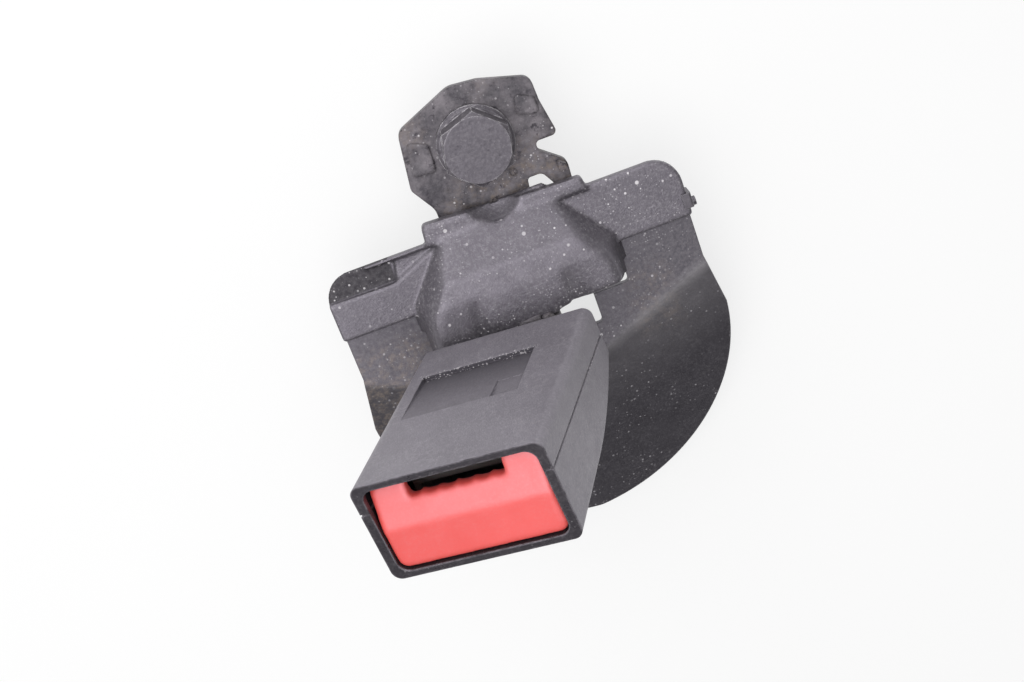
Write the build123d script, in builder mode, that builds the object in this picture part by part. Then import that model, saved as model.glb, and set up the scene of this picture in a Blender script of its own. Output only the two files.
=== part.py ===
"""Seat belt buckle on its floor anchor: bracket, guide, swivelling stalk, latch and release button.

Millimetres. The origin is the anchor bolt's axis where the bracket meets the floor, +Z up the
bolt, +X along the guide bar, +Y away from the buckle.
"""
import math
import os

from build123d import *

os.makedirs("parts", exist_ok=True)

# ---------------------------------------------------------------- sizes that drive the part
plate = 3.0                # anchor bracket steel
flap_t = 2.0               # cover flap sheet
bar_t = 3.0                # guide bar
guide_x = -2.0             # centre line of the guide and the stalk
bar_w = 102.6
bar_top, bar_low = -20.6, -38.8
flap_r = 54.0              # round end of the flap
flap_cy = -69.5
flap_side = bar_w / 2 - 0.5   # its straight sides, just inside the ends of the bar
flap_fall = 22.0           # degrees the lower flap falls away

bolt_d = 11.7              # thread over its crests
bolt_af = 18.0
bolt_flange = 21.5
bolt_length = 24.0         # shank under the bracket
thread_start = 1.5         # the thread begins this far under the bracket
neck_r = 5.2               # groove over it, where the retaining washer sits

pivot = (-2.5, -52.5, 9.0)  # swivel of the stalk
yaw, pitch, lean = 3.7, 3.3, 18.7   # degrees: ear turned, ear tipped, stalk resting to the left
gap = 0.35                 # air between pieces that move past each other
rivet_r = 4.0              # swivel rivet shank
stalk_w, stalk_t = 17.0, 3.0

head_w = 49.0              # buckle housing, across
far_c, near_c = 22.0, 89.5  # housing ends, measured up the stalk from the swivel
front_far, front_near = 10.7, 13.45
rear_far, rear_near = -5.6, -13.45
rear_bend = (-13.1, 60.0)  # where the back starts to curve in
wall = 1.8
edge_r = 2.6               # rounding of its long edges
seam_b, seam_fall = 5.8, 3.7   # parting line at the near end, and how far it falls toward the back
rim = 2.5                  # beside the mouth
mouth_a, mouth_b = head_w - 2 * rim, 23.4
spring_a = head_w / 2 - wall - 2.8   # button springs stand this far from the middle
button_gap = 0.45
press = 5.0                # release travel
eject = 10.0               # ejector travel
tongue_w = 24.4            # slot for the belt tongue
tongue_b = 6.3             # back face of the tongue slot
frame_t = 1.8
pin_r = 1.5

cy30 = math.cos(math.radians(30))

# ---------------------------------------------------------------- frames the head is drawn in
cy, sy = math.cos(math.radians(yaw)), math.sin(math.radians(yaw))
cp, sp = math.cos(math.radians(pitch)), math.sin(math.radians(pitch))
across = Vector(cy, sy, 0)
front = Vector(-sy * cp, cy * cp, sp)
upright = across.cross(front)


def leaned(angle):
    """Width and length directions of a head leaning by this many degrees."""
    c, s = math.cos(math.radians(angle)), math.sin(math.radians(angle))
    return across * c + upright * s, upright * c - across * s


wide, along = leaned(lean)
ear_plane = Plane(origin=pivot, x_dir=across, z_dir=-front)
head = Plane(origin=pivot, x_dir=wide, z_dir=along)          # a, b, c
profile = Plane(origin=pivot, x_dir=front, z_dir=wide)       # b, c seen along the width
face_on = Plane(origin=pivot, x_dir=-wide, z_dir=front)      # -a, c seen from the front


def rounded(corners):
    """Face through the corners (x, y, r), each corner rounded to its own r."""
    with BuildSketch() as shape:
        with BuildLine():
            Polyline(*[(x, y) for x, y, _ in corners], close=True)
        make_face()
        for x, y, r in corners:
            if r:
                fillet(shape.vertices().sort_by_distance((x, y))[0], r)
    return shape.sketch


def block(a, b, c):
    """Box between two limits on each axis of the head."""
    with BuildPart() as box:
        with Locations(head * Location(((a[0] + a[1]) / 2, (b[0] + b[1]) / 2, (c[0] + c[1]) / 2))):
            Box(a[1] - a[0], b[1] - b[0], c[1] - c[0])
    return box.part


# ================================================================ anchor bracket
ear_back = stalk_t / 2 + gap + 0.8      # washer between stalk and ear
neck_y = pivot[1] + ear_back + 0.4
with BuildPart() as anchor_bracket:
    with BuildSketch():
        add(rounded([
            (-16.6, -22, 2), (-16.6, -13.5, 5), (-21, -6.3, 2.5), (-18.8, 9.8, 3.5), (-2, 16.7, 6),
            (6, 15.9, 6), (19.7, 11.9, 3), (20, 5, 6), (21.9, -5.4, 1.5), (15.2, -5.4, 1.2),
            (15.4, -8, 1.2), (21.8, -13.2, 3), (21.4, -20.5, 3), (12, -29, 4), (guide_x + 9.5, -34, 4),
            (guide_x + 9.5, neck_y + 3, 0), (guide_x - 9.5, neck_y + 3, 0), (guide_x - 9.5, -34, 4)]))
    extrude(amount=plate)
    with BuildSketch(ear_plane.offset(-ear_back)):
        Circle(7.2)
        with Locations((0, 4.6)):
            Rectangle(6.2, 9.2)
        with Locations((0, -4.5)):
            Rectangle(14.4, 9)
    extrude(amount=-plate)
    split(bisect_by=Plane.XY, keep=Keep.TOP)
    with BuildSketch(ear_plane.offset(-ear_back - plate - 1)):
        Circle(rivet_r + 0.03)
    extrude(amount=plate + 2, mode=Mode.SUBTRACT)
    with BuildSketch(Plane.XY.offset(-1)):
        Circle(bolt_d / 2 + 0.65)
    extrude(amount=plate + 2, mode=Mode.SUBTRACT)
    with BuildSketch(Plane.XY):
        Circle(9.4)
    extrude(amount=1.2, mode=Mode.SUBTRACT)
    with BuildSketch(Plane.XY.offset(-1)):
        add(rounded([(10, -14.2, 1), (14.2, -14.2, 2), (17.4, -19.8, 1.5), (12, -20, 2), (9.6, -17.4, 1.5)]))
        for at in ((guide_x - 6, -30), (guide_x + 6, -30)):
            with Locations(at):
                Circle(2.03)
    extrude(amount=plate + 2, mode=Mode.SUBTRACT)
    # pressed pads beside the bolt, and the finger's turned-up end
    with BuildSketch(Plane.XY.offset(plate)):
        add(rounded([(-18.9, -3, 1.2), (-12.6, -3.6, 1.2), (-12.2, 4.2, 1.2), (-17.6, 6.6, 1.2)]))
        add(rounded([(12.8, 3.6, 1.2), (19, 1.6, 1.2), (19, 6.4, 1.2), (14, 8.8, 1.2)]))
    extrude(amount=0.7)
    with BuildSketch(Plane.XY.offset(plate)):
        add(rounded([(18.9, -11.6, 0.5), (21.2, -13.4, 0.5), (21.2, -15.1, 0.5), (18.9, -15.1, 0.5)]))
    extrude(amount=3.0)
    with BuildSketch(Plane.XY.offset(plate)):
        with Locations((7.0, -11.2)):
            Circle(1.1)
    extrude(amount=-0.5, mode=Mode.SUBTRACT)
export_step(anchor_bracket.part, "parts/anchor_bracket.step")

# ================================================================ anchor bolt and its retaining washer
seat_z = plate + gap                    # underside of the flange
head_z = seat_z + 1.6
with BuildPart() as hexagon:
    with Locations((0, 0, head_z)):
        Cylinder(bolt_af / 2 / cy30, 7.4, align=(Align.CENTER, Align.CENTER, Align.MIN))
    chamfer(edges().group_by(Axis.Z)[-1], 0.8, 1.4)
    with BuildSketch(Plane.XY.offset(head_z)):
        RegularPolygon(bolt_af / 2, 6, major_radius=False, rotation=18.7)
    extrude(amount=7.4, mode=Mode.INTERSECT)

with BuildPart() as anchor_bolt:
    with BuildSketch(Plane.XY.offset(-bolt_length)):
        Circle(bolt_d / 2)
    extrude(amount=bolt_length - thread_start)
    chamfer(edges().group_by(Axis.Z)[0], 1.2)
    with BuildSketch(Plane.XY.offset(-thread_start)):
        Circle(neck_r)
    extrude(amount=thread_start + seat_z)
    with BuildSketch(Plane.XY.offset(seat_z)):
        Circle(bolt_flange / 2)
    extrude(amount=1.6)
    chamfer(edges().group_by(Axis.Z)[-1], 0.5, 1.0)
    add(hexagon.part)
export_step(anchor_bolt.part, "parts/anchor_bolt.step")

with BuildPart() as retaining_washer:
    with BuildSketch(Plane.XY.offset(0.2)):
        Circle(8.6)
        Circle(neck_r + 0.02, mode=Mode.SUBTRACT)
    extrude(amount=0.8)
export_step(retaining_washer.part, "parts/retaining_washer.step")

# ================================================================ cover flap
flap_top = plate + flap_t
side_fall = Vector(math.sin(math.radians(22.4)), -math.cos(math.radians(22.4)), 0)   # square to a crease


def flap_block(drop):
    """Everything under the flap's top surface, lowered by drop."""
    level = flap_top - drop
    tilt = math.radians(flap_fall)
    with BuildPart() as solid:
        with BuildSketch(Plane.XY.offset(-40)):
            with BuildLine():
                Polyline((guide_x - flap_r, flap_cy), (guide_x - flap_side, -52), (guide_x - flap_side, -23),
                         (guide_x + flap_side, -23), (guide_x + flap_side, -52), (guide_x + flap_r, flap_cy))
                ThreePointArc((guide_x + flap_r, flap_cy), (guide_x, flap_cy - flap_r),
                              (guide_x - flap_r, flap_cy))
            make_face()
        extrude(amount=40 + level)
        for side in (1, -1):
            down = Vector(side * side_fall.X, side_fall.Y, 0)
            split(bisect_by=Plane(origin=(guide_x, -75, level),
                                  z_dir=down * math.sin(tilt) + Vector(0, 0, math.cos(tilt))),
                  keep=Keep.BOTTOM)
        creases = solid.edges().filter_by(lambda e: e.center().Z > level - 12 and e.length > 30)
        creases = creases.filter_by(lambda e: abs(e.center().X - guide_x) < 30 and e.center().Y < -55)
        fillet(creases.filter_by(lambda e: e.geom_type == GeomType.LINE), 6)
    return solid.part


with BuildPart() as floor_flap:
    add(flap_block(0))
    add(flap_block(flap_t), mode=Mode.SUBTRACT)
    with BuildSketch(Plane.XY):
        with Locations((guide_x, -55.4)):
            RectangleRounded(36.8, 9.6, 1)
        with Locations((guide_x, -46)):
            RectangleRounded(57.8, 11, 1)
        with Locations((guide_x, -52)):
            Rectangle(34.8, 6)
        with Locations((guide_x - 6, -30), (guide_x + 6, -30)):
            Circle(2.03)
    extrude(amount=10, mode=Mode.SUBTRACT)
export_step(floor_flap.part, "parts/floor_flap.step")

# ================================================================ guide bar and hood
bar_z = flap_top + bar_t
bar_mid = (bar_top + bar_low) / 2
lip_y = -44.5
dent_x, dent_y = 12.0, -37.6            # where the dented corners of the lip begin
hood_faces = [                          # point on each face, and its outward direction
    ((0, -19.5, 8.6), (0, 0.52, 0.854)),
    ((0, -31, 15.5), (0, 0.182, 0.983)),
    ((16.4, -20, 8), (0.67, 0.545, 0.5)),
    ((29.2, -36, 8), (0.9, 0, 0.436)),
    ((-16.4, -20, 8), (-0.67, 0.545, 0.5)),
    ((-29.2, -36, 8), (-0.9, 0, 0.436)),
]


def hood_block(inset, low, back):
    """The hood's faces moved in by inset, over a floor at low, running back to y = back."""
    with BuildPart() as solid:
        with Locations((guide_x, -16, low)):
            Box(72, -16 - back, 20, align=(Align.CENTER, Align.MAX, Align.MIN))
        for (x, y, z), out in hood_faces:
            split(bisect_by=Plane(origin=(guide_x + x, y, z), z_dir=out).offset(-inset), keep=Keep.BOTTOM)
        ridges = solid.edges().filter_by(lambda e: e.center().Z > low + 1 and e.bounding_box().size.Y > 1)
        crest = solid.edges().filter_by(lambda e: e.center().Z > low + 4 and e.bounding_box().size.Y < 1
                                        and e.center().Y > back + 1)
        fillet(ridges + crest, 2.6 - inset / 2)
        for side in (-1, 1):
            with BuildPart(mode=Mode.SUBTRACT):
                with Locations((guide_x + side * dent_x, dent_y, low)):
                    Box(60, 40, 30, align=(Align.MIN if side > 0 else Align.MAX, Align.MAX, Align.MIN))
                for at, out in (((side * dent_x, dent_y, 15.9), (0, -0.4, 0.917)),
                                ((side * dent_x, dent_y, 15.9), (side * 0.55, 0, 0.835))):
                    split(bisect_by=Plane(origin=(guide_x + at[0], at[1], at[2]), z_dir=out).offset(-inset),
                          keep=Keep.TOP)
    return solid.part


with BuildPart() as guide_hood:
    with BuildSketch(Plane.XY.offset(flap_top)):
        add(rounded([(guide_x - bar_w / 2, bar_low, 1), (guide_x + bar_w / 2, bar_low, 1),
                     (guide_x + bar_w / 2, bar_top, 8), (guide_x - bar_w / 2, bar_top, 8)]))
    extrude(amount=bar_t)
    with BuildSketch(Plane.XY.offset(flap_top)):
        add(rounded([(-21.8, -15, 1.5), (-16.5, -15.3, 3), (16, -17.2, 3), (23.6, -17.4, 1.2), (24.2, -21.5, 0),
                     (-22.4, -21.5, 0)]))
    extrude(amount=bar_t + 1)
    add(hood_block(0, flap_top, lip_y))
    add(hood_block(2, bar_z, lip_y - 10), mode=Mode.SUBTRACT)
    with BuildSketch(Plane.XY.offset(flap_top)):
        with Locations((guide_x, lip_y - 5)):
            Rectangle(54, 2 * (bar_low - lip_y + 5) - 0.001)
    extrude(amount=bar_t, mode=Mode.SUBTRACT)
    # the bar's left end is sunk behind its lower strip, with a thin rim kept along the top
    for corners, deep in (([(-56, -27.4, 0), (-33.4, -27.8, 1.5), (-31.8, -21.5, 1), (-40, -21.3, 0),
                            (-43, -18, 0), (-56, -18, 0)], 1.8),
                          ([(-33.8, -27.6, 0), (-18.6, -21.3, 0), (-33.4, -21.3, 0)], 0.9)):
        with BuildSketch(Plane.XY.offset(bar_z - deep)):
            add(rounded(corners))
        extrude(amount=deep, mode=Mode.SUBTRACT)
    with BuildSketch(Plane.XY.offset(flap_top - 1)):
        with Locations((guide_x - 6, -30), (guide_x + 6, -30)):
            Circle(2.03)
    extrude(amount=bar_t + 2, mode=Mode.SUBTRACT)
    with Locations((guide_x + 1, -12.2, 15.6)):
        Sphere(11, mode=Mode.SUBTRACT)
export_step(guide_hood.part, "parts/guide_hood.step")

with BuildPart() as guide_rivets:
    with BuildSketch(Plane.XY.offset(0.3)):
        with Locations((guide_x - 6, -30), (guide_x + 6, -30)):
            Circle(2)
    extrude(amount=bar_z - 0.3)
    with BuildSketch(Plane.XY.offset(bar_z)):
        with Locations((guide_x - 6, -30), (guide_x + 6, -30)):
            Circle(3.6)
    extrude(amount=1.3)
export_step(guide_rivets.part, "parts/guide_rivets.step")

clip_edge = guide_x + bar_w / 2
with BuildPart() as end_clips:          # spring clip over the bar's right end, and its push pin
    with Locations((clip_edge + 0.5, -34.4, (plate + bar_z) / 2)):
        Box(1.0, 4.2, bar_z - plate + 1.6)
    for z in (bar_z + 0.4, plate - 0.4):
        with Locations((clip_edge - 0.6, -34.4, z)):
            Box(2.2, 4.2, 0.8)
    fillet(edges().filter_by(Axis.Y).group_by(Axis.X)[-1], 0.6)
    with Locations(Location((clip_edge + 1, -36.1, plate + 1.5), (0, 90, 0))):
        Cylinder(1.3, 1.2, align=(Align.CENTER, Align.CENTER, Align.MIN))
export_step(end_clips.part, "parts/end_clips.step")

# ================================================================ swivel
with BuildPart() as swivel_rivet:
    with BuildSketch(ear_plane.offset(stalk_t / 2 + gap)):
        Circle(rivet_r)
    extrude(amount=-(stalk_t + 2 * gap + 0.8 + plate))
    with BuildSketch(ear_plane.offset(-ear_back - plate)):
        Circle(5.6)
    extrude(amount=-1.5)
    with BuildSketch(ear_plane.offset(stalk_t / 2 + gap)):
        Circle(6.2)
    extrude(amount=1.6)
    chamfer(edges().filter_by(GeomType.CIRCLE).sort_by(Axis(pivot, tuple(front)))[0], 0.7)
export_step(swivel_rivet.part, "parts/swivel_rivet.step")

with BuildPart() as swivel_washer:
    with BuildSketch(ear_plane.offset(-ear_back)):
        Circle(7)
        Circle(rivet_r + 0.03, mode=Mode.SUBTRACT)
    extrude(amount=0.8)
export_step(swivel_washer.part, "parts/swivel_washer.step")

# ================================================================ stalk
stalk_top, joint_c, joint_r = 38.0, 29.0, 2.5
with BuildPart() as stalk:
    with BuildSketch(face_on.offset(-stalk_t / 2)):
        Circle(stalk_w / 2)
        with Locations((0, stalk_top / 2)):
            Rectangle(stalk_w, stalk_top)
    extrude(amount=stalk_t)
    for side in (-1, 1):
        add(block(sorted((side * 6.3, side * stalk_w / 2)), (0, 5), (4.5, 8)))
    with BuildSketch(face_on.offset(-stalk_t)):
        Circle(rivet_r + gap)
        with Locations((0, joint_c)):
            Circle(joint_r + 0.03)
    extrude(amount=2 * stalk_t, mode=Mode.SUBTRACT)
export_step(stalk.part, "parts/stalk.step")

tail_b = stalk_t / 2 + frame_t
with BuildPart() as stalk_rivet:
    with BuildSketch(face_on.offset(-stalk_t / 2)):
        with Locations((0, joint_c)):
            Circle(joint_r)
    extrude(amount=tail_b + stalk_t / 2)
    with BuildSketch(face_on.offset(tail_b)):
        with Locations((0, joint_c)):
            Circle(4.4)
    extrude(amount=1.4)
    with BuildSketch(face_on.offset(-stalk_t / 2)):
        with Locations((0, joint_c)):
            Circle(4.4)
    extrude(amount=-1.4)
export_step(stalk_rivet.part, "parts/stalk_rivet.step")

# ================================================================ latch frame and its pin
base_b = (3.4, 3.4 + frame_t)
cheek = 15.0
latch_at = (-1.0, 48.0)
bar_at = (-4.5, 60.0)
bar_r = 1.6
with BuildPart() as buckle_frame:
    add(block((-9, 9), (stalk_t / 2, tail_b), (23.5, 42)))
    add(block((-9, 9), (stalk_t / 2, base_b[1]), (39, 42)))
    add(block((-cheek, cheek), base_b, (40, 77)))
    for side in (-1, 1):
        add(block(sorted((side * (cheek - frame_t), side * cheek)), (-8.2, base_b[1]), (44, 77)))
    add(block((-4, 4), (stalk_t / 2, 8.2), (34.5, 36)))
    add(block((-7.5, 7.5), (3, 6), (59.5, 69)), mode=Mode.SUBTRACT)
    with BuildSketch(profile.offset(-cheek - 1)):
        with Locations(latch_at):
            Circle(pin_r + 0.03)
        with Locations((bar_at[0], bar_at[1] - press / 2)):
            Rectangle(2 * (bar_r + gap), press + 2 * (bar_r + gap))
    extrude(amount=2 * cheek + 2, mode=Mode.SUBTRACT)
    with BuildSketch(face_on):
        with Locations((0, joint_c)):
            Circle(joint_r + 0.03)
    extrude(amount=6, mode=Mode.SUBTRACT)
export_step(buckle_frame.part, "parts/buckle_frame.step")

with BuildPart() as latch_pin:
    with BuildSketch(profile.offset(-cheek - 1.2)):
        with Locations(latch_at):
            Circle(pin_r)
    extrude(amount=2 * cheek + 2.4)
export_step(latch_pin.part, "parts/latch_pin.step")

# ================================================================ latch and its spring
nose_b = base_b[1] - 0.1
with BuildPart() as latch:
    with BuildSketch(profile.offset(-6)):
        Polygon((-1.9, 48), (-1.9, 66.5), (0.2, 66.5), (nose_b, 63.9), (nose_b, 62.3), (0.2, 62.3), (0.2, 48),
                align=None)
        with Locations(latch_at):
            Circle(3.1)
            Circle(pin_r + gap, mode=Mode.SUBTRACT)
    extrude(amount=12)
export_step(latch.part, "parts/latch.step")

with BuildPart() as latch_spring:
    with BuildSketch(profile.offset(6.8)):
        with Locations(latch_at):
            Circle(2.6)
            Circle(pin_r + 0.05, mode=Mode.SUBTRACT)
    extrude(amount=6)
export_step(latch_spring.part, "parts/latch_spring.step")

# ================================================================ ejector, its spring and the tongue guide
slide_b = (base_b[1] + gap, base_b[1] + gap + 3)
with BuildPart() as ejector:
    add(block((-12, 12), slide_b, (55, 59)))
    for side in (-1, 1):
        add(block(sorted((side * 8, side * 12)), slide_b, (55, 75)))
export_step(ejector.part, "parts/ejector.step")

with BuildPart() as ejector_spring:
    with BuildSketch(head.offset(36)):
        with Locations((0, 7.05)):
            Circle(1.5)
            Circle(0.9, mode=Mode.SUBTRACT)
    extrude(amount=19 - gap)
export_step(ejector_spring.part, "parts/ejector_spring.step")

with BuildPart() as tongue_guide:
    add(block((-14.2, 14.2), (9.25, 10.15), (56, 68.4)))
    for side in (-1, 1):
        add(block(sorted((side * 12.5, side * 14.2)), (base_b[1], 10.15), (56, 68.4)))
export_step(tongue_guide.part, "parts/tongue_guide.step")

# ================================================================ release button, lock bar and springs
face_c = 88.0
skirt_c = 78.4
mouth_c = skirt_c - press - 0.4
btn_a = mouth_a / 2 - button_gap
btn_b = (-mouth_b / 2 + button_gap, mouth_b / 2 - button_gap)
skirt = 1.8
with BuildPart() as press_button:
    with BuildSketch(head.offset(skirt_c)):
        RectangleRounded(2 * btn_a, btn_b[1] - btn_b[0], 2.5)
    extrude(amount=face_c - skirt_c)
    split(bisect_by=Plane(origin=head.from_local_coords((0, 0, face_c)),
                          z_dir=front * math.sin(math.radians(17)) + along * math.cos(math.radians(17))),
          keep=Keep.BOTTOM)
    crown = press_button.faces().sort_by(Axis(pivot, tuple(along)))[-2:]
    ridge = crown[0].edges().filter_by(lambda e: any(e.is_same(o) for o in crown[1].edges()))
    chamfer(crown.edges().filter_by(lambda e: not any(e.is_same(o) for o in ridge)), 0.6)
    with BuildSketch(head.offset(skirt_c)):
        RectangleRounded(2 * (btn_a - skirt), btn_b[1] - btn_b[0] - 2 * skirt, 1)
    extrude(amount=4.6, mode=Mode.SUBTRACT)
    add(block((-tongue_w / 2, tongue_w / 2), (tongue_b - 0.3, 14), (70, 92)), mode=Mode.SUBTRACT)
    for side in (-1, 1):
        add(block(sorted((side * (cheek + 0.45), side * (cheek + 2.2))), (-6.6, -2.4), (57.5, 84)))
        add(block(sorted((side * (cheek + 2), side * (btn_a - 0.5))), (-6.5, -2.5), (skirt_c, skirt_c + 2)))
    with BuildSketch(profile.offset(-20)):
        with Locations(bar_at):
            Circle(bar_r + 0.03)
    extrude(amount=40, mode=Mode.SUBTRACT)
    with BuildSketch(head.offset(face_c - 4.9)):          # ribs that the tongue slides over
        with GridLocations(4.4, 1, 5, 1):
            with Locations((0, tongue_b - 0.6)):
                Circle(0.8)
    extrude(amount=2.6)
export_step(press_button.part, "parts/press_button.step")

with BuildPart() as lock_bar:
    with BuildSketch(profile.offset(-cheek - 2.2)):
        with Locations(bar_at):
            Circle(bar_r)
    extrude(amount=2 * (cheek + 2.2))
export_step(lock_bar.part, "parts/lock_bar.step")

with BuildPart() as button_springs:
    with BuildSketch(head.offset(62)):
        with Locations((-spring_a, -4.5), (spring_a, -4.5)):
            Circle(1.7)
            Circle(1.0, mode=Mode.SUBTRACT)
    extrude(amount=skirt_c - 62 - gap)
export_step(button_springs.part, "parts/button_springs.step")

# ================================================================ housing, moulded in two halves


def housing_block(inset):
    """The housing's outside, moved in by inset."""
    with BuildPart() as solid:
        with BuildSketch(profile):
            with BuildLine():
                Polyline((rear_far, far_c), (front_far, far_c), (front_near, near_c), (rear_near, near_c),
                         rear_bend)
                TangentArc(rear_bend, (rear_far, far_c),
                           tangent=(rear_bend[0] - rear_near, rear_bend[1] - near_c))
            make_face()
            if inset:
                offset(amount=-inset, kind=Kind.INTERSECTION)
        extrude(amount=head_w / 2 - inset, both=True)
    return solid


parting = Plane(origin=head.from_local_coords((0, seam_b, near_c)), x_dir=wide,
                z_dir=front * (near_c - far_c) - along * seam_fall)
shell = housing_block(0)
corners = shell.edges().filter_by(lambda e: abs(abs((e.center() - Vector(*pivot)).dot(wide)) - head_w / 2) < 0.01)
with shell:
    fillet(corners.filter_by(lambda e: far_c + 0.1 < (e.center() - Vector(*pivot)).dot(along) < near_c - 0.1),
           edge_r)
with BuildPart() as housing:
    add(shell.part)
    add(housing_block(wall).part, mode=Mode.SUBTRACT)
    with BuildSketch(head.offset(mouth_c)):
        RectangleRounded(mouth_a, mouth_b, 3)
    extrude(amount=20, mode=Mode.SUBTRACT)
    add(block((-9.3, 9.3), (-2.4, tail_b + 0.4), (far_c - 1, far_c + 5)), mode=Mode.SUBTRACT)
    for side in (-1, 1):
        add(block(sorted((side * (spring_a - 1.9), side * (head_w / 2 - 1.5))), (-7, -2), (60, 62)))
        with Locations(parting.location * Location((side * head_w / 2, 0, 0))):   # line where the halves meet
            Box(1.0, 3 * near_c, 0.6, mode=Mode.SUBTRACT)

recess_c, recess_end = 38.0, 60.0
slope = (front_near - front_far) / (near_c - far_c)
face_b = [front_far + slope * (c - far_c) for c in (recess_c, recess_end)]
with BuildPart() as housing_front:
    add(housing.part)
    split(bisect_by=parting, keep=Keep.TOP)
    with BuildSketch(profile.offset(-19.2)):
        Polygon((face_b[0] - 1.1, recess_c), (14, recess_c), (14, recess_end), (face_b[1], recess_end), align=None)
    extrude(amount=31.6, mode=Mode.SUBTRACT)
    add(block((5, 12.4), (11.3, 14), (51.5, 60)), mode=Mode.SUBTRACT)
export_step(housing_front.part, "parts/housing_front.step")

with BuildPart() as housing_rear:
    add(housing.part)
    split(bisect_by=parting, keep=Keep.BOTTOM)
export_step(housing_rear.part, "parts/housing_rear.step")
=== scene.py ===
import math

import bmesh
import bpy
from mathutils import Matrix, Vector


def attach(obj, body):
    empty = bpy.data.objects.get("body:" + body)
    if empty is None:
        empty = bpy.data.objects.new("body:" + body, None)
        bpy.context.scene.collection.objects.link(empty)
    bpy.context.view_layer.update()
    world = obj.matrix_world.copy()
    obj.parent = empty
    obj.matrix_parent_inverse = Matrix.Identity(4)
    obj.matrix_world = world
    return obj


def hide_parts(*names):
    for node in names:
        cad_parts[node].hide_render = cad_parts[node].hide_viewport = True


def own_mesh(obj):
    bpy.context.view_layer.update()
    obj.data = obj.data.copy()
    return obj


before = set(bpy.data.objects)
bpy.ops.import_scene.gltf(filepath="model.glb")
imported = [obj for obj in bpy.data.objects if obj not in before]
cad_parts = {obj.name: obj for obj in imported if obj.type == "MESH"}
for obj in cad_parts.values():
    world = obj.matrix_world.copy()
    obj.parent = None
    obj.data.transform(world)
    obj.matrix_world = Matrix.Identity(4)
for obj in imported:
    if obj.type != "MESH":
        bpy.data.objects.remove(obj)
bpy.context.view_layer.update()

# ------------------------------------------------------------------ sizes shared with the part, in metres
guide_x = -0.002                        # centre line of the guide
x_axis, y_axis, z_axis = (1, 0, 0), (0, 1, 0), (0, 0, 1)

# the buckle head: its swivel, and the directions of its width, front and length
pivot = Vector((-0.0025, -0.0525, 0.009))
yaw, pitch, lean = (math.radians(v) for v in (3.7, 3.3, 18.7))
across = Vector((math.cos(yaw), math.sin(yaw), 0))
front = Vector((-math.sin(yaw) * math.cos(pitch), math.cos(yaw) * math.cos(pitch), math.sin(pitch)))
upright = across.cross(front)
wide = across * math.cos(lean) + upright * math.sin(lean)
along = upright * math.cos(lean) - across * math.sin(lean)

far_c, near_c = 0.022, 0.0895           # housing ends, measured up the stalk
seam_b, seam_fall = 0.0058, 0.0037      # parting line at the mouth, and how far it falls to the other end
recess_a, recess_c = (-0.0192, 0.0124), (0.038, 0.060)   # recess in the front, across and up the stalk
front_b = (0.008, 0.009)                # a point this far to the front is on the housing's front face

crease_out, crease_y = 0.381, -0.9245   # direction square to a crease of the flap, out and down the flap
crease_from = (guide_x, -0.075, 0)      # where the two creases meet

# the bar's sunk left end: where it begins and where it is fully reached
sunk_x, sunk_y, sunk_z = (-0.0330, -0.0335), (-0.0280, -0.0270), (0.0078, 0.0074)


def in_head(a, b, c):
    """Place in the world of a point given by width, front and length of the buckle head."""
    return pivot + wide * a + front * b + along * c


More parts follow.
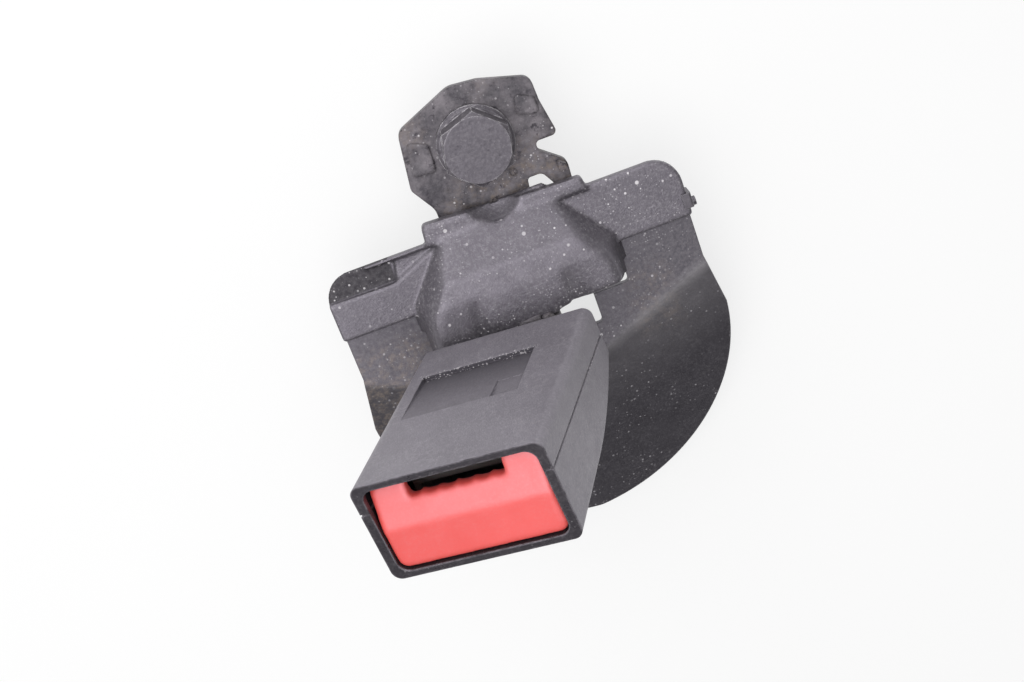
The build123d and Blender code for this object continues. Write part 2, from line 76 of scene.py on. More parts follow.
# ------------------------------------------------------------------ node helpers
class Surface:
    """A material under construction, with short calls for the nodes used again and again."""

    def __init__(self, name):
        self.mat = bpy.data.materials.new(name)
        self.mat.use_nodes = True
        self.nodes, self.links = self.mat.node_tree.nodes, self.mat.node_tree.links
        self.bsdf = self.nodes["Principled BSDF"]
        self.coord = self.nodes.new("ShaderNodeTexCoord").outputs["Object"]
        self.geo = self.nodes.new("ShaderNodeNewGeometry")

    def put(self, socket, value):
        """Link a socket to a node's output, or set it to a number or colour."""
        if isinstance(value, bpy.types.NodeSocket):
            self.links.new(value, socket)
        elif isinstance(value, tuple) and len(value) == 3 and socket.type == "RGBA":
            socket.default_value = (*value, 1)
        else:
            socket.default_value = value

    def noise(self, scale, detail=3.0, rough=0.6, squeeze=None, turn=(0, 0, 0)):
        """Noise of this many cycles in a metre, drawn out into streaks where squeeze is given."""
        n = self.nodes.new("ShaderNodeTexNoise")
        n.inputs["Scale"].default_value = scale
        n.inputs["Detail"].default_value = detail
        n.inputs["Roughness"].default_value = rough
        source = self.coord
        if squeeze:
            m = self.nodes.new("ShaderNodeMapping")
            m.inputs["Rotation"].default_value = turn
            m.inputs["Scale"].default_value = squeeze
            self.links.new(source, m.inputs["Vector"])
            source = m.outputs["Vector"]
        self.links.new(source, n.inputs["Vector"])
        return n.outputs["Fac"]

    def dots(self, spacing, radius, share):
        """Round specks of mixed sizes, on about this share of the cells of a loose grid."""
        v = self.nodes.new("ShaderNodeTexVoronoi")
        v.inputs["Scale"].default_value = 1 / spacing
        self.links.new(self.coord, v.inputs["Vector"])
        tone = self.nodes.new("ShaderNodeSeparateColor")
        self.links.new(v.outputs["Color"], tone.inputs["Color"])
        chosen = self.ramp(tone.outputs["Red"], 1 - share, 1 - share * 0.96)
        size = self.ramp(tone.outputs["Green"], 0.0, 1.0, 0.35 * radius / spacing, radius / spacing)
        spot = self.maths("DIVIDE", v.outputs["Distance"], size)
        return self.maths("MULTIPLY", self.ramp(spot, 1.0, 0.7), chosen)

    def ramp(self, value, low, high, a=0.0, b=1.0):
        """From a to b as the value goes from low to high, and level outside them."""
        r = self.nodes.new("ShaderNodeMapRange")
        for name, v in (("From Min", low), ("From Max", high), ("To Min", a), ("To Max", b)):
            r.inputs[name].default_value = v
        self.links.new(value, r.inputs["Value"])
        return r.outputs["Result"]

    def maths(self, op, a, b=0.0):
        m = self.nodes.new("ShaderNodeMath")
        m.operation = op
        self.put(m.inputs[0], a)
        self.put(m.inputs[1], b)
        return m.outputs["Value"]

    def most(self, *values):
        """The largest of the values."""
        best = values[0]
        for v in values[1:]:
            best = self.maths("MAXIMUM", best, v)
        return best

    def times(self, *values):
        """The product of the values."""
        product = values[0]
        for v in values[1:]:
            product = self.maths("MULTIPLY", product, v)
        return product

    def mix(self, fac, a, b):
        """Colour a where fac is 0, and colour b where it is 1."""
        m = self.nodes.new("ShaderNodeMix")
        m.data_type = "RGBA"
        self.put(m.inputs["Factor"], fac)
        for socket, v in (("A", a), ("B", b)):
            self.put([i for i in m.inputs if i.name == socket and i.type == "RGBA"][0], v)
        return [o for o in m.outputs if o.type == "RGBA"][0]

    def dot(self, a, b):
        """Dot product of two vectors."""
        d = self.nodes.new("ShaderNodeVectorMath")
        d.operation = "DOT_PRODUCT"
        self.put(d.inputs[0], a)
        self.put(d.inputs[1], b)
        return d.outputs["Value"]

    def along_axis(self, direction, origin=(0, 0, 0)):
        """How far a point lies along a direction from an origin."""
        return self.maths("SUBTRACT", self.dot(self.coord, direction), Vector(direction).dot(Vector(origin)))

    def band(self, value, low, high, soft):
        """One between low and high, falling to nothing over soft on each side."""
        return self.times(self.ramp(value, low - soft, low), self.ramp(value, high + soft, high))

    def bump(self, height, strength, distance, normal=None):
        b = self.nodes.new("ShaderNodeBump")
        b.inputs["Strength"].default_value = strength
        b.inputs["Distance"].default_value = distance
        self.links.new(height, b.inputs["Height"])
        if normal is not None:
            self.links.new(normal, b.inputs["Normal"])
        return b.outputs["Normal"]

    def soft_edges(self, radius):
        """The normal, with sharp edges shaded as if rounded to this radius."""
        b = self.nodes.new("ShaderNodeBevel")
        b.samples = 4
        b.inputs["Radius"].default_value = radius
        return b.outputs["Normal"]


# ------------------------------------------------------------------ materials
cast = (1.0, 0.93, 1.07)                # faint violet tint of the reflections
dust_and_highlight_white = (0.65, 0.625, 0.645)
dirt_brown = (0.20, 0.155, 0.115)
shade_black = (0.008, 0.007, 0.009)     # painted shade in the hollows
grain_depth, pit_depth, dust_depth = 0.00012, 0.0002, 0.0001


def worn(name, base, shade, metal=0.0, rough=0.45, sheen_ior=1.65, level=1.0, grain=(2400, 0.25), film=0.1,
         specks=0.3, dirt=0.0, scratch=0.3, rub_and_highlight=0.3, rub_and_highlight_colour=(0.3, 0.28, 0.3), pits=0.0, edge=0.0003,
         mottle=110, flat=(0.1, 0.9), crowd=1.0, haze_scale=130, grit=0.06, extra=None, dark=None,
         soiled=None):
    """A used surface: mottled base, fine grain, scratches, rubbed edges that are partly painted highlight,
    dust that lies on what faces up, and painted shade in hollows.

    base, shade, mottle    two tones, and the scale of the mottling between them
    grain                  scale and strength of the fine relief
    film, haze_scale       strength and scale of the haze of dust on what faces up
    grit                   strength of the fine powder all over
    specks, crowd, extra   strength and density of the white specks, and a mask that adds more, which on the flap also holds a painted highlight and painted shading
    flat                   the upward part of the normal at which dust starts to lie, and lies fully
    dirt, soiled           strength of the brown dirt, and a mask of where it lies
    rub_and_highlight, edge, scratch   wear and painted highlight of the edges towards rub_and_highlight_colour, their rounding, and the strength of fine scratches
    pits                   depth of small dark pits
    dark                   a mask of hollows darkened with painted shade
    """
    s = Surface(name)
    mottled = s.mix(s.ramp(s.noise(mottle, 5, 0.65), 0.38, 0.66), base, shade)

    streaks = [s.ramp(s.noise(55, 2, 0.5, (1.0, 42.0, 11.0), turn), 0.665, 0.70)
               for turn in ((0.3, 0.2, 0.5), (0.1, 0.5, -0.9))]
    scratches = s.times(s.most(*streaks), s.ramp(s.noise(60), 0.5, 0.64), scratch)
    rounded = s.soft_edges(edge)
    turned = s.dot(rounded, s.geo.outputs["Normal"])        # below 1 only at an edge
    # edges lighten towards the rub colour: partly wear, partly painted highlight
    rubbed_and_highlit_edge = s.times(s.ramp(turned, 0.99, 0.86), s.ramp(s.noise(420), 0.34, 0.58), rub_and_highlight)

    facing = s.nodes.new("ShaderNodeSeparateXYZ")
    s.links.new(s.geo.outputs["Normal"], facing.inputs["Vector"])
    up = s.ramp(facing.outputs["Z"], flat[0], flat[1], 0.12, 1.0)
    patch = s.ramp(s.noise(38, 4, 0.6), 0.40, 0.60, 0.25, 1.0)
    fine = s.times(s.dots(0.0010, 0.00027, 0.5 * crowd), s.ramp(s.noise(75, 4, 0.7), 0.40, 0.58))
    spots = s.most(s.times(fine, 0.55), s.dots(0.0026, 0.00046, 0.34 * crowd),
                   s.dots(0.0075, 0.0009, 0.30 * crowd))
    spots = s.times(spots, up, patch, specks)
    haze = s.times(s.ramp(s.noise(haze_scale, 6, 0.75), 0.40, 0.75), up, film)
    # extra adds more specks; on the flap it also adds a painted highlight and painted shading
    if extra:
        spots = s.maths("MAXIMUM", spots, extra(s))
    powder = s.times(s.ramp(s.noise(1150, 4, 0.75), 0.47, 0.70),
                     s.ramp(s.noise(95, 4, 0.6), 0.30, 0.60, 0.35, 1.0), grit)

    colour = s.mix(scratches, mottled, rub_and_highlight_colour)
    colour = s.mix(rubbed_and_highlit_edge, colour, rub_and_highlight_colour)
    colour = s.mix(haze, colour, dust_and_highlight_white)
    colour = s.mix(powder, colour, dust_and_highlight_white)
    if dirt:
        where = soiled(s) if soiled else s.ramp(s.noise(30, 3, 0.5), 0.46, 0.62)
        earth = s.times(s.ramp(s.noise(420, 5, 0.8), 0.46, 0.62), where, dirt)
        colour = s.mix(earth, colour, dirt_brown)
    if pits:
        pit = s.times(s.ramp(s.noise(330, 4, 0.7), 0.42, 0.33), pits)
        colour = s.mix(pit, colour, (base[0] * 0.3, base[1] * 0.28, base[2] * 0.3))
    colour = s.mix(spots, colour, dust_and_highlight_white)
    # painted shade: the hollows are darkened towards shade_black, except under the specks
    if dark:
        hollow = dark(s)
        colour = s.mix(s.times(hollow, s.maths("SUBTRACT", 1.0, spots)), colour, shade_black)
    s.links.new(colour, s.bsdf.inputs["Base Color"])

    s.bsdf.inputs["Metallic"].default_value = metal
    s.bsdf.inputs["IOR"].default_value = sheen_ior
    s.bsdf.inputs["Specular IOR Level"].default_value = level
    s.bsdf.inputs["Specular Tint"].default_value = (*cast, 1)

    uneven = s.ramp(s.noise(190, 4, 0.7), 0.3, 0.7, rough - 0.06, rough + 0.08)
    uneven = s.maths("ADD", uneven, s.times(s.maths("ADD", haze, spots), 0.5))
    if dark:
        uneven = s.maths("ADD", uneven, s.times(hollow, 0.3))
    s.links.new(s.maths("MINIMUM", uneven, 0.95), s.bsdf.inputs["Roughness"])

    normal = s.bump(s.noise(grain[0], 2, 0.5), grain[1], grain_depth, rounded)
    if pits:
        normal = s.bump(pit, -0.5 * pits, pit_depth, normal)
    normal = s.bump(spots, 0.5, dust_depth, normal)
    s.links.new(s.bump(scratches, -0.2, dust_depth, normal), s.bsdf.inputs["Normal"])
    return s.mat


def housing_dust(s):
    """Crumbs in the parting line's far half and along the recess's deep edge, and faint dust all over."""
    a, b, c = (s.along_axis(axis, pivot) for axis in (wide, front, along))
    crumbs = s.most(s.dots(0.0006, 0.0003, 0.6), s.dots(0.0012, 0.00044, 0.4))
    seam = s.maths("SUBTRACT", b, s.ramp(c, far_c, near_c, seam_b - seam_fall, seam_b))
    seam = s.times(s.band(seam, -0.0005, 0.0005, 0.0003), s.band(c, far_c, 0.042, 0.004),
                   s.ramp(a, 0.020, 0.022))
    ledge = s.times(s.band(c, recess_c[0] - 0.0010, recess_c[0] + 0.0008, 0.0004),
                    s.band(a, recess_a[0], recess_a[1], 0.002), s.ramp(b, *front_b))
    faint = s.times(s.dots(0.0008, 0.0003, 0.5), s.ramp(s.noise(110, 5, 0.7), 0.42, 0.62),
                    s.ramp(b, 0.0, 0.008, 0.4, 1.0), 0.12)
    return s.maths("MAXIMUM", s.times(s.maths("MAXIMUM", seam, ledge), crumbs, 0.75), faint)


def recess_painted_shade(s):
    """Painted shade in the recess, darkest at its deep far edge."""
    a, b, c = (s.along_axis(axis, pivot) for axis in (wide, front, along))
    sharp = 0.0001
    return s.times(s.band(a, recess_a[0], recess_a[1], sharp), s.ramp(b, *front_b),
                   s.ramp(c, recess_c[0], recess_c[1] - 0.004, 1.0, 0.0),
                   s.ramp(c, recess_c[0] - sharp, recess_c[0]), s.ramp(c, recess_c[1] + sharp, recess_c[1]))


def sunk_end(s):
    """The bar's left end, sunk behind its lower strip, where crumbs lie and where painted shade darkens it.
    """
    x, y, z = (s.along_axis(axis) for axis in (x_axis, y_axis, z_axis))
    return s.times(s.ramp(x, *sunk_x), s.ramp(y, *sunk_y), s.ramp(z, *sunk_z))


def guide_dust(s):
    """Crumbs that lie thick in the bar's sunk left end and on the hood's lip."""
    y, z = (s.along_axis(axis) for axis in (y_axis, z_axis))
    lip = s.times(s.ramp(y, -0.039, -0.044), s.ramp(z, 0.010, 0.012),
                  s.ramp(s.noise(90, 3, 0.6), 0.38, 0.55))
    in_end = s.most(s.dots(0.0012, 0.0004, 0.45), s.dots(0.003, 0.0007, 0.4))
    on_lip = s.most(s.dots(0.0009, 0.0003, 0.55), s.dots(0.0024, 0.0005, 0.3))
    return s.maths("MAXIMUM", s.times(in_end, sunk_end(s), 0.75), s.times(on_lip, lip, 0.75))


def flap_soil(s):
    """Brown dirt on the flap's left side and beside its window."""
    x, y = (s.along_axis(axis) for axis in (x_axis, y_axis))
    left = s.times(s.ramp(x, -0.028, -0.036), s.band(y, -0.070, -0.048, 0.006))
    right = s.times(s.band(x, 0.028, 0.036, 0.005), s.band(y, -0.066, -0.052, 0.006), 0.55)
    return s.maths("MAXIMUM", left, right)


def flap_dust_and_painted_light(s):
    """A soft pale band along the flap's creases, partly dust and partly painted highlight, that thins out
    over its falling sides, partly as dust and partly as painted shading; and crumbs.
    """
    beyond = s.most(*[s.along_axis((side * crease_out, crease_y, 0), crease_from) for side in (-1, 1)])
    x = s.along_axis(x_axis)
    # pale near the creases and fading down the falling sides: partly dust haze, partly painted shading
    falling = s.times(s.ramp(beyond, -0.001, 0.0), s.ramp(beyond, 0.0, 0.023, 1.0, 0.0),
                      s.ramp(x, 0.0, 0.030, 0.4, 1.0))
    # a painted highlight along the creases, partly dust
    line = s.times(s.band(beyond, -0.0006, 0.0010, 0.0024), s.ramp(x, 0.006, 0.024), 0.85)
    cloud = s.ramp(s.noise(170, 6, 0.75), 0.25, 0.75, 0.5, 1.0)
    crumbs = s.times(s.dots(0.0013, 0.00042, 0.5), s.ramp(s.noise(60, 4, 0.6), 0.42, 0.60), 0.5)
    return s.maths("MAXIMUM", s.times(s.maths("ADD", falling, line), cloud, 0.16), crumbs)


# black mouldings
# the guide's moulding is darkened with painted shade in the bar's sunk end
moulding = worn("guide_moulding", (0.032, 0.029, 0.034), (0.052, 0.047, 0.055), rough=0.42, film=0.05,
                specks=1.0, scratch=0.22, rub_and_highlight=0.3, grain=(2200, 0.7), mottle=120, crowd=1.8, grit=0.20,
                extra=guide_dust, dark=sunk_end)
# a darker copy of the guide's moulding for the bar's sunk end: painted shade, with crumbs of dust
sunk = worn("sunk_shaded_moulding", (0.014, 0.013, 0.015), (0.034, 0.031, 0.034), rough=0.60, level=0.35, film=0.1,
            specks=1.0, scratch=0.9, rub_and_highlight=0.2, grain=(1500, 0.5), mottle=600, crowd=1.6, haze_scale=700,
            extra=guide_dust)
flap_look = worn("flap_moulding", (0.013, 0.0118, 0.0145), (0.017, 0.0155, 0.0185), rough=0.40, level=0.85,
                 film=0.16, specks=0.9, dirt=0.6, scratch=0.15, rub_and_highlight=0.30, grain=(1500, 0.4), mottle=300,
                 edge=0.0007, flat=(0.925, 0.995), crowd=1.8, haze_scale=800, grit=0.07, extra=flap_dust_and_painted_light,
                 soiled=flap_soil)
# the shell's dark mask paints shade into the recess, darkest at its deep far edge
shell = worn("shell_moulding", (0.096, 0.089, 0.101), (0.124, 0.115, 0.130), rough=0.40, film=0.03,
             specks=0.10, scratch=0.20, rub_and_highlight=0.30, grain=(2400, 0.9), mottle=70, edge=0.0007, grit=0.16,
             extra=housing_dust, dark=recess_painted_shade)
# a darker copy of the shell's plastic for the recess floor: painted shade
recess = worn("recess_shaded_moulding", (0.085, 0.078, 0.089), (0.105, 0.097, 0.110), rough=0.50, level=0.72,
              film=0.03, specks=0.3, scratch=0.10, rub_and_highlight=0.2, grain=(1500, 0.6), mottle=400,
              extra=housing_dust, dark=recess_painted_shade)
# a much darker copy of the shell's plastic for the mouth's rim and lining: painted shade, with edges rubbed
# partly to painted highlight
rim = worn("rim_shaded_moulding", (0.020, 0.018, 0.021), (0.028, 0.025, 0.029), rough=0.30, level=0.42, film=0.0,
           specks=0.2, scratch=0.15, rub_and_highlight=0.9, rub_and_highlight_colour=(0.28, 0.26, 0.29), grain=(2600, 0.35), edge=0.0007)

# metals, and the lighter plastics
coated = worn("coated_steel", (0.016, 0.0145, 0.0165), (0.155, 0.140, 0.150), rough=0.48, sheen_ior=1.6,
              level=0.46, film=0.10, specks=1.0, dirt=0.6, scratch=0.25, rub_and_highlight=0.22,
              rub_and_highlight_colour=(0.24, 0.22, 0.24), pits=0.9, grain=(1000, 0.9), edge=0.0012, mottle=190, crowd=1.6,
              haze_scale=330)
# the bolt's edges rub to a pale grey: partly wear, partly painted highlight
bolt_steel = worn("bolt_steel", (0.040, 0.036, 0.041), (0.070, 0.064, 0.071), rough=0.46, sheen_ior=1.6,
                  level=0.75, film=0.0, specks=0.3, scratch=0.25, rub_and_highlight=1.0, rub_and_highlight_colour=(0.70, 0.67, 0.70),
                  pits=0.9, grain=(1200, 0.6), edge=0.0005, mottle=500, grit=0.12)
plated = worn("plated_steel", (0.52, 0.50, 0.49), (0.40, 0.38, 0.37), metal=0.9, rough=0.34, level=0.5,
              specks=0.1, scratch=0.5, rub_and_highlight=0.4, rub_and_highlight_colour=(0.7, 0.7, 0.68), pits=0.2, grain=(700, 0.15))
spring = worn("spring_steel", (0.30, 0.29, 0.30), (0.20, 0.19, 0.20), metal=0.9, rough=0.32, level=0.5,
              specks=0.1, scratch=0.3, rub_and_highlight=0.4, rub_and_highlight_colour=(0.5, 0.5, 0.5), grain=(700, 0.1))
clip_steel = worn("clip_steel", (0.020, 0.018, 0.020), (0.04, 0.036, 0.04), rough=0.4, specks=0.1,
                  scratch=0.2, rub_and_highlight=0.5, rub_and_highlight_colour=(0.35, 0.33, 0.33), pits=0.3, grain=(900, 0.2))
nylon = worn("grey_nylon", (0.10, 0.095, 0.105), (0.15, 0.14, 0.155), rough=0.5, level=0.5, specks=0.2,
             scratch=0.2, rub_and_highlight=0.2, grain=(1500, 0.25))
red = worn("red_button", (0.86, 0.098, 0.084), (0.81, 0.088, 0.074), rough=0.38, sheen_ior=1.6, level=1.0,
           film=0.0, specks=0.03, scratch=0.08, rub_and_highlight=0.2, rub_and_highlight_colour=(0.95, 0.32, 0.28), grain=(2200, 0.10),
           mottle=30, edge=0.0016)

# ------------------------------------------------------------------ the plain solids' materials
looks = {
    "anchor_bracket": coated, "anchor_bolt": bolt_steel, "retaining_washer": nylon, "floor_flap": flap_look,
    "guide_hood": moulding, "guide_rivets": bolt_steel, "end_clips": clip_steel, "swivel_rivet": bolt_steel,
    "swivel_washer": nylon, "stalk": coated, "stalk_rivet": bolt_steel, "buckle_frame": plated,
    "latch_pin": spring, "latch": plated, "ejector": nylon, "tongue_guide": plated, "press_button": red,
    "lock_bar": spring, "housing_front": shell, "housing_rear": shell,
}
for node, mat in looks.items():
    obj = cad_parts[node]
    obj.data.materials.clear()
    obj.data.materials.append(mat)

mouth_b = 0.002                         # middle of the mouth, towards the front
rim_deep = 0.001
rim_slot, recess_slot = 1, 2
# painted shade: the mouth's rim and lining and the recess's floor take darker copies of the shell's plastic
for node in ("housing_front", "housing_rear"):          # the mouth's rim and lining, and the recess's floor
    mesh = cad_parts[node].data
    mesh.materials.append(rim)
    mesh.materials.append(recess)
    for face in mesh.polygons:
        place = face.center - pivot
        at_c = place.dot(along)
        on_rim = at_c > near_c - rim_deep and face.normal.dot(along) > 0.7
        inward = (place - along * at_c - front * mouth_b).dot(face.normal) < 0
        if on_rim or at_c > recess_c[1] and inward:
            face.material_index = rim_slot
        elif (face.normal.dot(front) > 0.8 and recess_a[0] < place.dot(wide) < recess_a[1]
              and recess_c[0] < at_c < recess_c[1]):
            face.material_index = recess_slot


# ------------------------------------------------------------------ reshaped copies of plain solids
def eased(t):
    """From 0 to 1 with a soft start and end."""
    t = min(1, max(0, t))
    return t * t * (3 - 2 * t)


def even_copy(node, name, voxel, mat):
    """A copy of a CAD node's surface, remeshed evenly, with a bmesh to shape it."""
    obj = bpy.data.objects.new(name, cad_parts[node].data.copy())
    bpy.context.collection.objects.link(obj)
    remesh = obj.modifiers.new("even", "REMESH")
    remesh.mode = "VOXEL"
    remesh.voxel_size = voxel
    bpy.context.view_layer.update()
    even = bpy.data.meshes.new_from_object(obj.evaluated_get(bpy.context.evaluated_depsgraph_get()))
    obj.modifiers.clear()
    obj.data = even
    even.materials.clear()
    even.materials.append(mat)
    bm = bmesh.new()
    bm.from_mesh(even)
    return obj, bm


def soften(bm, verts, passes):
    """Round the forms by averaging each vertex with its neighbours."""
    for _ in range(passes):
        bmesh.ops.smooth_vert(bm, verts=verts, factor=0.5, use_axis_x=True, use_axis_y=True, use_axis_z=True)


def keep_shape(obj, bm):
    """Write the bmesh back as a smooth surface."""
    for f in bm.faces:
        f.smooth = True
    bm.to_mesh(obj.data)
    bm.free()
    return obj


hood_voxel = 0.00045
hood_foot, hood_half = 0.0086, 0.0320   # the hood stands above this height and within this half width
foot_play = 0.0005                      # the lip's own foot starts this much lower
hood_passes, dent_passes = 14, 40
dent_x, dent_y = 0.0120, -0.0376        # inner corner of each dent, from the guide's middle
dent_near = 0.004                       # extra softening starts this far outside a dent
dent_lift = 0.80                        # the share of the dents' depth that is taken out
top_rise, dent_fall, dent_slope = 0.185, 0.620, 0.66   # slopes of the hood's top and of a dent's two faces
dent_step = 0.0008
lip_start, lip_end = -0.0370, -0.0440   # the lip is drawn out between these
lip_draw = (0.0060, 0.0032)             # further out at the left corner than at the right
sunk_at, bar_low = (-0.0337, -0.0273, 0.0072), 0.005   # limits of the sunk end's floor


def smooth_hood():
    """The guide with its bar: the plain solid's surface with soft pressed forms and the lip drawn out."""
    obj, bm = even_copy("guide_hood", "guide_body", hood_voxel, moulding)
    soften(bm, bm.verts, 1)
    for v in bm.verts:                                    # shallower dents in the lip's corners
        off, back_by = abs(v.co.x - guide_x) - dent_x, dent_y - v.co.y
        if v.co.z > hood_foot and off > 0 and back_by > 0:
            v.co.z += dent_lift * min(dent_fall * back_by + dent_step, dent_slope * off + top_rise * back_by)
    hood = [v for v in bm.verts if v.co.z > hood_foot and abs(v.co.x - guide_x) < hood_half]
    soften(bm, hood, hood_passes)
    dents = [v for v in hood
             if v.co.y < dent_y + dent_near and abs(v.co.x - guide_x) > dent_x - dent_near]
    soften(bm, dents, dent_passes)
    for v in bm.verts:
        if abs(v.co.x - guide_x) > hood_half or v.co.y > lip_start or v.co.z < hood_foot - foot_play:
            continue
        reach = eased((lip_start - v.co.y) / (lip_start - lip_end))
        sideways = eased((v.co.x - guide_x + hood_half) / (2 * hood_half))
        v.co.y -= reach * (lip_draw[0] + (lip_draw[1] - lip_draw[0]) * sideways)
    # painted shade: faces in the bar's sunk end take the darker sunk material
    obj.data.materials.append(sunk)
    for f in bm.faces:
        place = f.calc_center_median()
        if place.x < sunk_at[0] and place.y > sunk_at[1] and bar_low < place.z < sunk_at[2]:
            f.material_index = 1
    return keep_shape(obj, bm)


button_voxel, button_passes = 0.0004, 8
crown_c = (0.0795, 0.0850)              # the button's crown rises and widens between these
crown_lift, crown_spread = 0.0011, 0.012


def smooth_button():
    """The button with a softly moulded crown that stands nearly flush with the rim."""
    obj, bm = even_copy("press_button", "button_cap", button_voxel, red)
    soften(bm, bm.verts, button_passes)
    for v in bm.verts:
        local = v.co - pivot
        rise = eased((local.dot(along) - crown_c[0]) / (crown_c[1] - crown_c[0]))
        v.co += along * crown_lift * rise + wide * local.dot(wide) * crown_spread * rise
    return keep_shape(obj, bm)


corner_cut = (0.0486, -0.0230)          # the cut passes here, from the guide's middle
cut_out, cut_up = 0.84, 0.543           # and faces this way


def clipped_flap():
    """The cover flap with its upper corners trimmed to lie behind the rounded ends of the bar."""
    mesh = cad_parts["floor_flap"].data.copy()
    obj = bpy.data.objects.new("flap_sheet", mesh)
    bpy.context.collection.objects.link(obj)
    bm = bmesh.new()
    bm.from_mesh(mesh)
    bmesh.ops.remove_doubles(bm, verts=bm.verts, dist=1e-6)
    for side in (-1, 1):
        cut = bmesh.ops.bisect_plane(bm, geom=bm.verts[:] + bm.edges[:] + bm.faces[:], dist=1e-7,
                                     plane_co=(guide_x + side * corner_cut[0], corner_cut[1], 0),
                                     plane_no=(side * cut_out, cut_up, 0), clear_outer=True)
        bmesh.ops.edgenet_fill(bm, edges=[e for e in cut["geom_cut"] if isinstance(e, bmesh.types.BMEdge)])
    bmesh.ops.recalc_face_normals(bm, faces=bm.faces)
    for f in bm.faces:
        f.smooth = False
    bm.to_mesh(mesh)
    bm.free()
    mesh.materials.clear()
    mesh.materials.append(flap_look)
    return obj


guide_body = smooth_hood()
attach(guide_body, "anchor")
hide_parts("guide_hood")
button_cap = smooth_button()
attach(button_cap, "button")
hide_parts("press_button")
flap_sheet = clipped_flap()
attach(flap_sheet, "anchor")
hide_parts("floor_flap")


# ------------------------------------------------------------------ coil springs
def swept(name, points, radius, sides, mat):
    """Tube of round section along a list of points, with closed ends."""
    bm = bmesh.new()
    rings = []
    for i, p in enumerate(points):
        ahead = (points[min(i + 1, len(points) - 1)] - points[max(i - 1, 0)]).normalized()
        side = ahead.cross(along if abs(ahead.dot(along)) < 0.9 else wide).normalized()
        up = ahead.cross(side)
        rings.append([bm.verts.new(p + (side * math.cos(t) + up * math.sin(t)) * radius)
                      for t in (2 * math.pi * k / sides for k in range(sides))])
    for one, two in zip(rings, rings[1:]):
        for k in range(sides):
            bm.faces.new((one[k], one[(k + 1) % sides], two[(k + 1) % sides], two[k])).smooth = True
    bm.faces.new(rings[0][::-1])
    bm.faces.new(rings[-1])
    bmesh.ops.recalc_face_normals(bm, faces=bm.faces)
    mesh = bpy.data.meshes.new(name)
    bm.to_mesh(mesh)
    bm.free()
    mesh.materials.append(mat)
    obj = bpy.data.objects.new(name, mesh)
    bpy.context.collection.objects.link(obj)
    return obj


turn_steps, wire_sides = 20, 8
end_closing = 0.06                      # how much closer the turns lie at both ends


def coil(name, foot, axis, length, radius, wire, turns, mat):
    """Coil spring standing on its foot, its wire's middle at this radius, with closer end turns."""
    axis = axis.normalized()
    side = axis.orthogonal().normalized()
    other = axis.cross(side)
    steps = int(turns * turn_steps)
    points = []
    for i in range(steps + 1):
        t = i / steps
        rise = t - end_closing * math.sin(2 * math.pi * t)
        angle = 2 * math.pi * turns * t
        points.append(foot + axis * (wire + (length - 2 * wire) * rise)
                      + (side * math.cos(angle) + other * math.sin(angle)) * radius)
    return swept(name, points, wire, wire_sides, mat)


def in_node(name):
    """Least and greatest place of a CAD node along the head's width, front and length."""
    vs = [v.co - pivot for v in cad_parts[name].data.vertices]
    return [(min(v.dot(d) for v in vs), max(v.dot(d) for v in vs)) for d in (wide, front, along)]


# radius to the wire's middle, the wire's own radius, and the turns
ejector_wound, button_wound, latch_wound = (0.0012, 0.00028, 13), (0.00135, 0.0003, 9), (0.0021, 0.0004, 6)
button_tube_r = 0.0017                  # the plain springs' outer radius

ejector_box = in_node("ejector_spring")
ejector_coil = coil("ejector_coil", in_head(0, sum(ejector_box[1]) / 2, ejector_box[2][0]), along,
                    ejector_box[2][1] - ejector_box[2][0], *ejector_wound, spring)
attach(ejector_coil, "head")
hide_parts("ejector_spring")
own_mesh(ejector_coil)

button_box = in_node("button_springs")
for side in (-1, 1):
    foot = in_head(side * (button_box[0][1] - button_tube_r), sum(button_box[1]) / 2, button_box[2][0])
    piece = coil("button_coil_" + ("left" if side < 0 else "right"), foot, along,
                 button_box[2][1] - button_box[2][0], *button_wound, spring)
    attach(piece, "head")
    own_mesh(piece)
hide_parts("button_springs")

latch_box = in_node("latch_spring")
latch_coil = coil("latch_coil", in_head(latch_box[0][0], sum(latch_box[1]) / 2, sum(latch_box[2]) / 2), wide,
                  latch_box[0][1] - latch_box[0][0], *latch_wound, spring)
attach(latch_coil, "head")
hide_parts("latch_spring")

# ------------------------------------------------------------------ the bolt's thread
bolt_r = 0.00585
thread_end, thread_top, thread_pitch = -0.0225, -0.0024, 0.00175
thread_sunk, thread_proud = 0.0002, 0.00016     # how far its foot lies in the shank and its crest stands out
foot_half, crest_half = thread_pitch * 0.36, 0.0001


def thread():
    """Helical ridge of the bolt's thread, a flat-topped triangle in section, wound down the shank."""
    turns = (thread_top - thread_end) / thread_pitch
    steps = int(turns * 40)
    bm = bmesh.new()
    rows = []
    for i in range(steps + 1):
        t = i / steps
        angle = 2 * math.pi * turns * t
        z = thread_top + (thread_end - thread_top) * t
        fade = min(1, 12 * t, 12 * (1 - t))     # the ridge runs out at both ends
        foot_r, crest_r = bolt_r - thread_sunk, bolt_r + thread_proud * fade
        rows.append([bm.verts.new((r * math.cos(angle), r * math.sin(angle), z + dz))
                     for r, dz in ((foot_r, foot_half), (crest_r, crest_half), (crest_r, -crest_half),
                                   (foot_r, -foot_half))])
    for one, two in zip(rows, rows[1:]):
        for k in range(4):
            bm.faces.new((one[k], two[k], two[(k + 1) % 4], one[(k + 1) % 4]))
    bm.faces.new(rows[0])
    bm.faces.new(rows[-1][::-1])
    bmesh.ops.recalc_face_normals(bm, faces=bm.faces)
    mesh = bpy.data.meshes.new("bolt_thread")
    bm.to_mesh(mesh)
    bm.free()
    mesh.materials.append(bolt_steel)
    obj = bpy.data.objects.new("bolt_thread", mesh)
    bpy.context.collection.objects.link(obj)
    return obj


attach(thread(), "bolt")

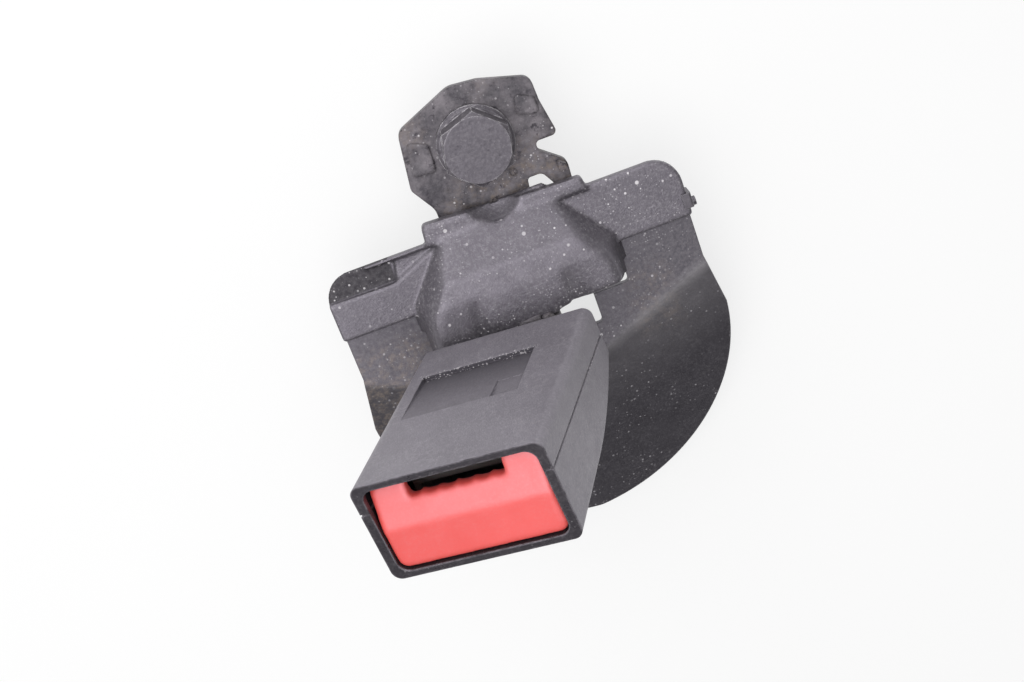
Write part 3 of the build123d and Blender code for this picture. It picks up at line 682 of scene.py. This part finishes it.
# ------------------------------------------------------------------ floor
floor_z, floor_size = -0.0246, 40
floor_white, floor_glow, glow_share = 0.93, 0.98, 0.72   # seen directly or mirrored, it glows in part

bpy.ops.mesh.primitive_plane_add(size=floor_size, location=(0, 0, floor_z))
floor = bpy.context.object
floor.name = "floor"
pale = Surface("pale_floor")
pale.bsdf.inputs["Base Color"].default_value = (floor_white, floor_white, floor_white, 1)
pale.bsdf.inputs["Roughness"].default_value = 0.7
glow = pale.nodes.new("ShaderNodeEmission")
glow.inputs["Strength"].default_value = floor_glow
blend = pale.nodes.new("ShaderNodeMixShader")
seen = pale.nodes.new("ShaderNodeLightPath")
rays = pale.most(*[seen.outputs["Is %s Ray" % kind] for kind in ("Camera", "Glossy", "Transmission")])
pale.links.new(pale.maths("MULTIPLY", rays, glow_share), blend.inputs["Fac"])
pale.links.new(pale.bsdf.outputs["BSDF"], blend.inputs[1])
pale.links.new(glow.outputs["Emission"], blend.inputs[2])
pale.links.new(blend.outputs["Shader"], pale.nodes["Material Output"].inputs["Surface"])
floor.data.materials.append(pale.mat)

# ------------------------------------------------------------------ light
lit_from = (-0.15, 0.70, 0.70)          # the studio's bright side; its dim side lies beyond the flap
dim, bright = 0.12, 0.64

world = bpy.data.worlds.new("studio")
bpy.context.scene.world = world
world.use_nodes = True
w_nodes, w_links = world.node_tree.nodes, world.node_tree.links
sky = w_nodes.new("ShaderNodeTexCoord")
lit_side = w_nodes.new("ShaderNodeVectorMath")
lit_side.operation = "DOT_PRODUCT"
lit_side.inputs[1].default_value = lit_from
w_links.new(sky.outputs["Generated"], lit_side.inputs[0])
fall = w_nodes.new("ShaderNodeMapRange")
for name, v in (("From Min", -0.5), ("From Max", 0.9), ("To Min", dim), ("To Max", bright)):
    fall.inputs[name].default_value = v
w_links.new(lit_side.outputs["Value"], fall.inputs["Value"])
w_nodes["Background"].inputs["Color"].default_value = (1, 1, 1, 1)
w_links.new(fall.outputs["Result"], w_nodes["Background"].inputs["Strength"])


def area_light(name, place, target, size, power):
    """Rectangular lamp at a place, turned to a target."""
    light = bpy.data.lights.new(name, "AREA")
    light.shape = "RECTANGLE"
    light.size, light.size_y = size
    light.energy = power
    obj = bpy.data.objects.new(name, light)
    obj.location = place
    obj.rotation_euler = (Vector(target) - Vector(place)).to_track_quat("-Z", "Y").to_euler()
    bpy.context.collection.objects.link(obj)


area_light("softbox", (-0.20, 0.06, 0.72), (0, -0.03, 0.02), (0.90, 0.72), 4.6)
area_light("front_fill", (-0.1, 0.75, 0.22), (0, -0.05, 0.04), (0.6, 0.3), 2.2)

# ------------------------------------------------------------------ camera, fitted to the photograph
camera_place = (0.00294, 0.08826, 0.40197)
right, back = Vector((0.938, -0.334, 0.092)), Vector((0.03, 0.342, 0.939))

cam_data = bpy.data.cameras.new("camera")
cam_data.sensor_width = 36
cam_data.lens = 52.734
camera = bpy.data.objects.new("camera", cam_data)
bpy.context.collection.objects.link(camera)
back.normalize()
right = (right - back * right.dot(back)).normalized()
up = back.cross(right)
turn = Matrix((right, up, back)).transposed().to_4x4()
camera.matrix_world = Matrix.Translation(camera_place) @ turn
bpy.context.scene.camera = camera
bpy.context.scene.view_settings.view_transform = "Standard"
